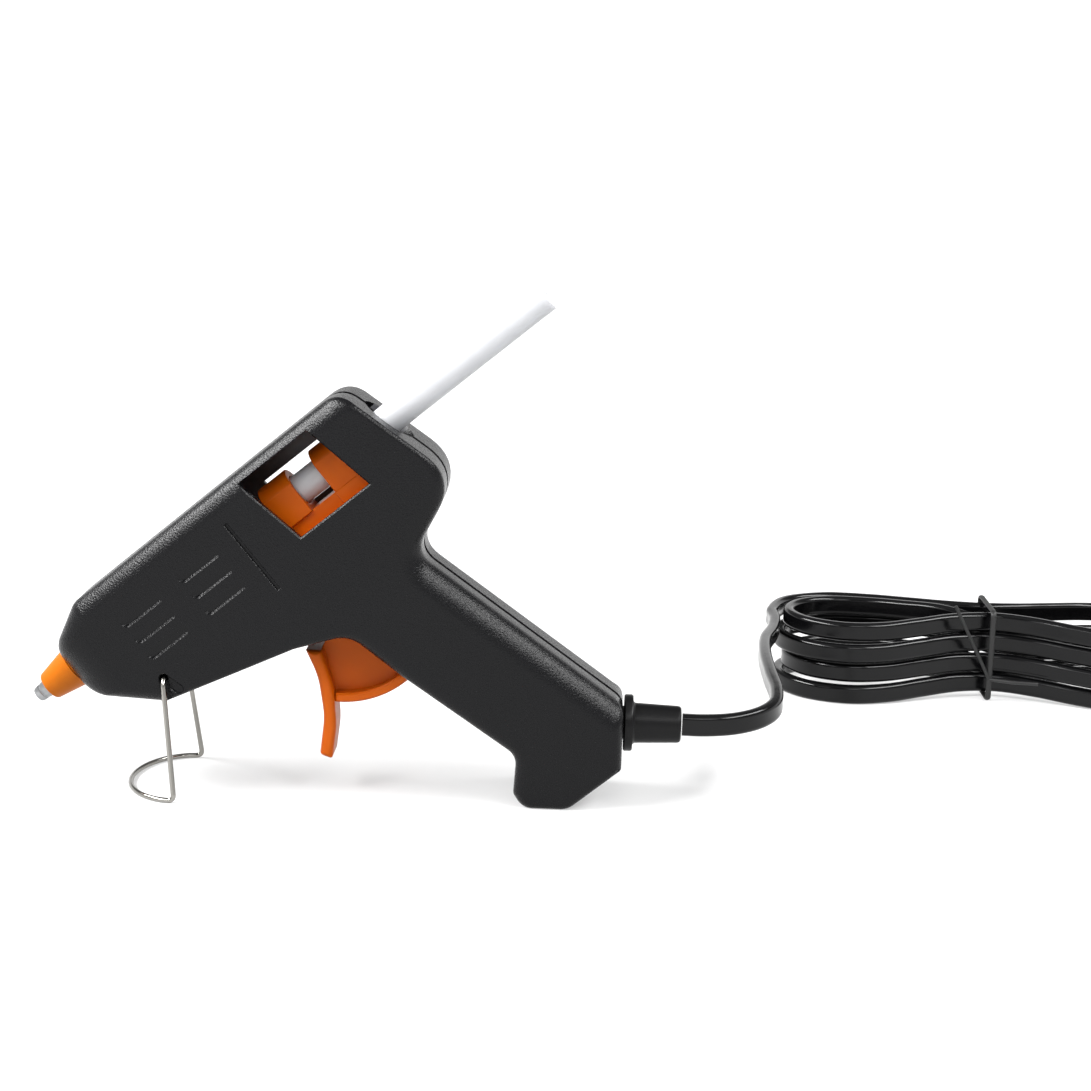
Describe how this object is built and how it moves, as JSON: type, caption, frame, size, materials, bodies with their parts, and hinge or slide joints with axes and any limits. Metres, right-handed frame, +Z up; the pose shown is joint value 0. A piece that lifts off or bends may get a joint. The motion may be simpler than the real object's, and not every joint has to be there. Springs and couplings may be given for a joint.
{
  "type": "mini hot glue applicator",
  "caption": "Pistol-shaped mini hot glue applicator with a trigger feed, glue stick, wire stand, orange nozzle cover and a flat mains cord wound in a hank.",
  "frame": {"origin": "on the surface it stands on, under the middle of the tool measured without its free cord", "axes": "+X from the nozzle towards the cord, +Y from the near to the far side, +Z up"},
  "size_m": [0.364, 0.167, 0.1202],
  "materials": {
    "housing": "fine-textured black moulding",
    "orange": "orange moulding, satin gloss",
    "aluminium": "turned",
    "ceramic": "heater ceramic",
    "mica": "insulating strip",
    "spring_steel": "spring steel",
    "steel": "bright nickel plate",
    "silicone": "silicone rubber",
    "glue": "milky hot-melt glue",
    "black_plastic": "plain",
    "pvc": "glossy black PVC",
    "tie": "coated wire",
    "lead_live": "silicone insulation",
    "lead_neutral": "silicone insulation",
    "pin_metal": "plated brass"
  },
  "bodies": {
    "housing": {"housing_near": "housing", "housing_far": "housing", "nozzle_cover": "orange", "melt_chamber": "aluminium", "ptc_heater": "ceramic", "heater_insulation": "mica", "heater_clip": "spring_steel", "sleeve_ring": "spring_steel", "return_spring": "spring_steel", "housing_screw_1": "steel", "housing_screw_2": "steel", "housing_screw_3": "steel", "housing_screw_4": "steel", "housing_screw_5": "steel", "trigger_pin": "steel", "clamp_screw_1": "steel", "clamp_screw_2": "steel", "stick_sleeve": "silicone", "cord_clamp": "black_plastic", "cord_gland": "pvc", "cord_tail": "pvc", "cord_lead": "pvc", "cord_hank": "pvc", "plug_body": "pvc", "cord_tie": "tie", "lead_live": "lead_live", "lead_neutral": "lead_neutral", "plug_pin_1": "pin_metal", "plug_pin_2": "pin_metal"},
    "trigger": {"trigger": "orange"},
    "feeder": {"feeder_carriage": "orange", "stick_gripper": "spring_steel", "drive_pin": "steel"},
    "stand": {"wire_stand": "steel"},
    "stick": {"glue_stick": "glue"}
  },
  "joints": [
    {"name": "trigger_pull", "type": "hinge", "parent": "housing", "child": "trigger", "pos_m": [-0.0031, 0, 0.04442], "axis": [0, -1, 0], "range_deg": [0, 24], "stiffness_Nm_per_rad": 0.25, "springref_deg": -17.19, "deforming": ["return_spring"]},
    {"name": "feeder_slide", "type": "slide", "parent": "housing", "child": "feeder", "axis": [-0.766, 0, -0.6428], "range_m": [0, 0.0059]},
    {"name": "stand_pivot", "type": "hinge", "parent": "housing", "child": "stand", "pos_m": [-0.0431, 0, 0.02797], "axis": [0, -1, 0], "range_deg": [0, 48]},
    {"name": "stick_slide", "type": "slide", "parent": "housing", "child": "stick", "axis": [0.766, 0, 0.6428], "range_m": [0, 0.06]}
  ],
  "couplings": [
    {"joint": "feeder_slide", "follows": "trigger_pull", "m_per_rad": 0.013853}
  ]
}
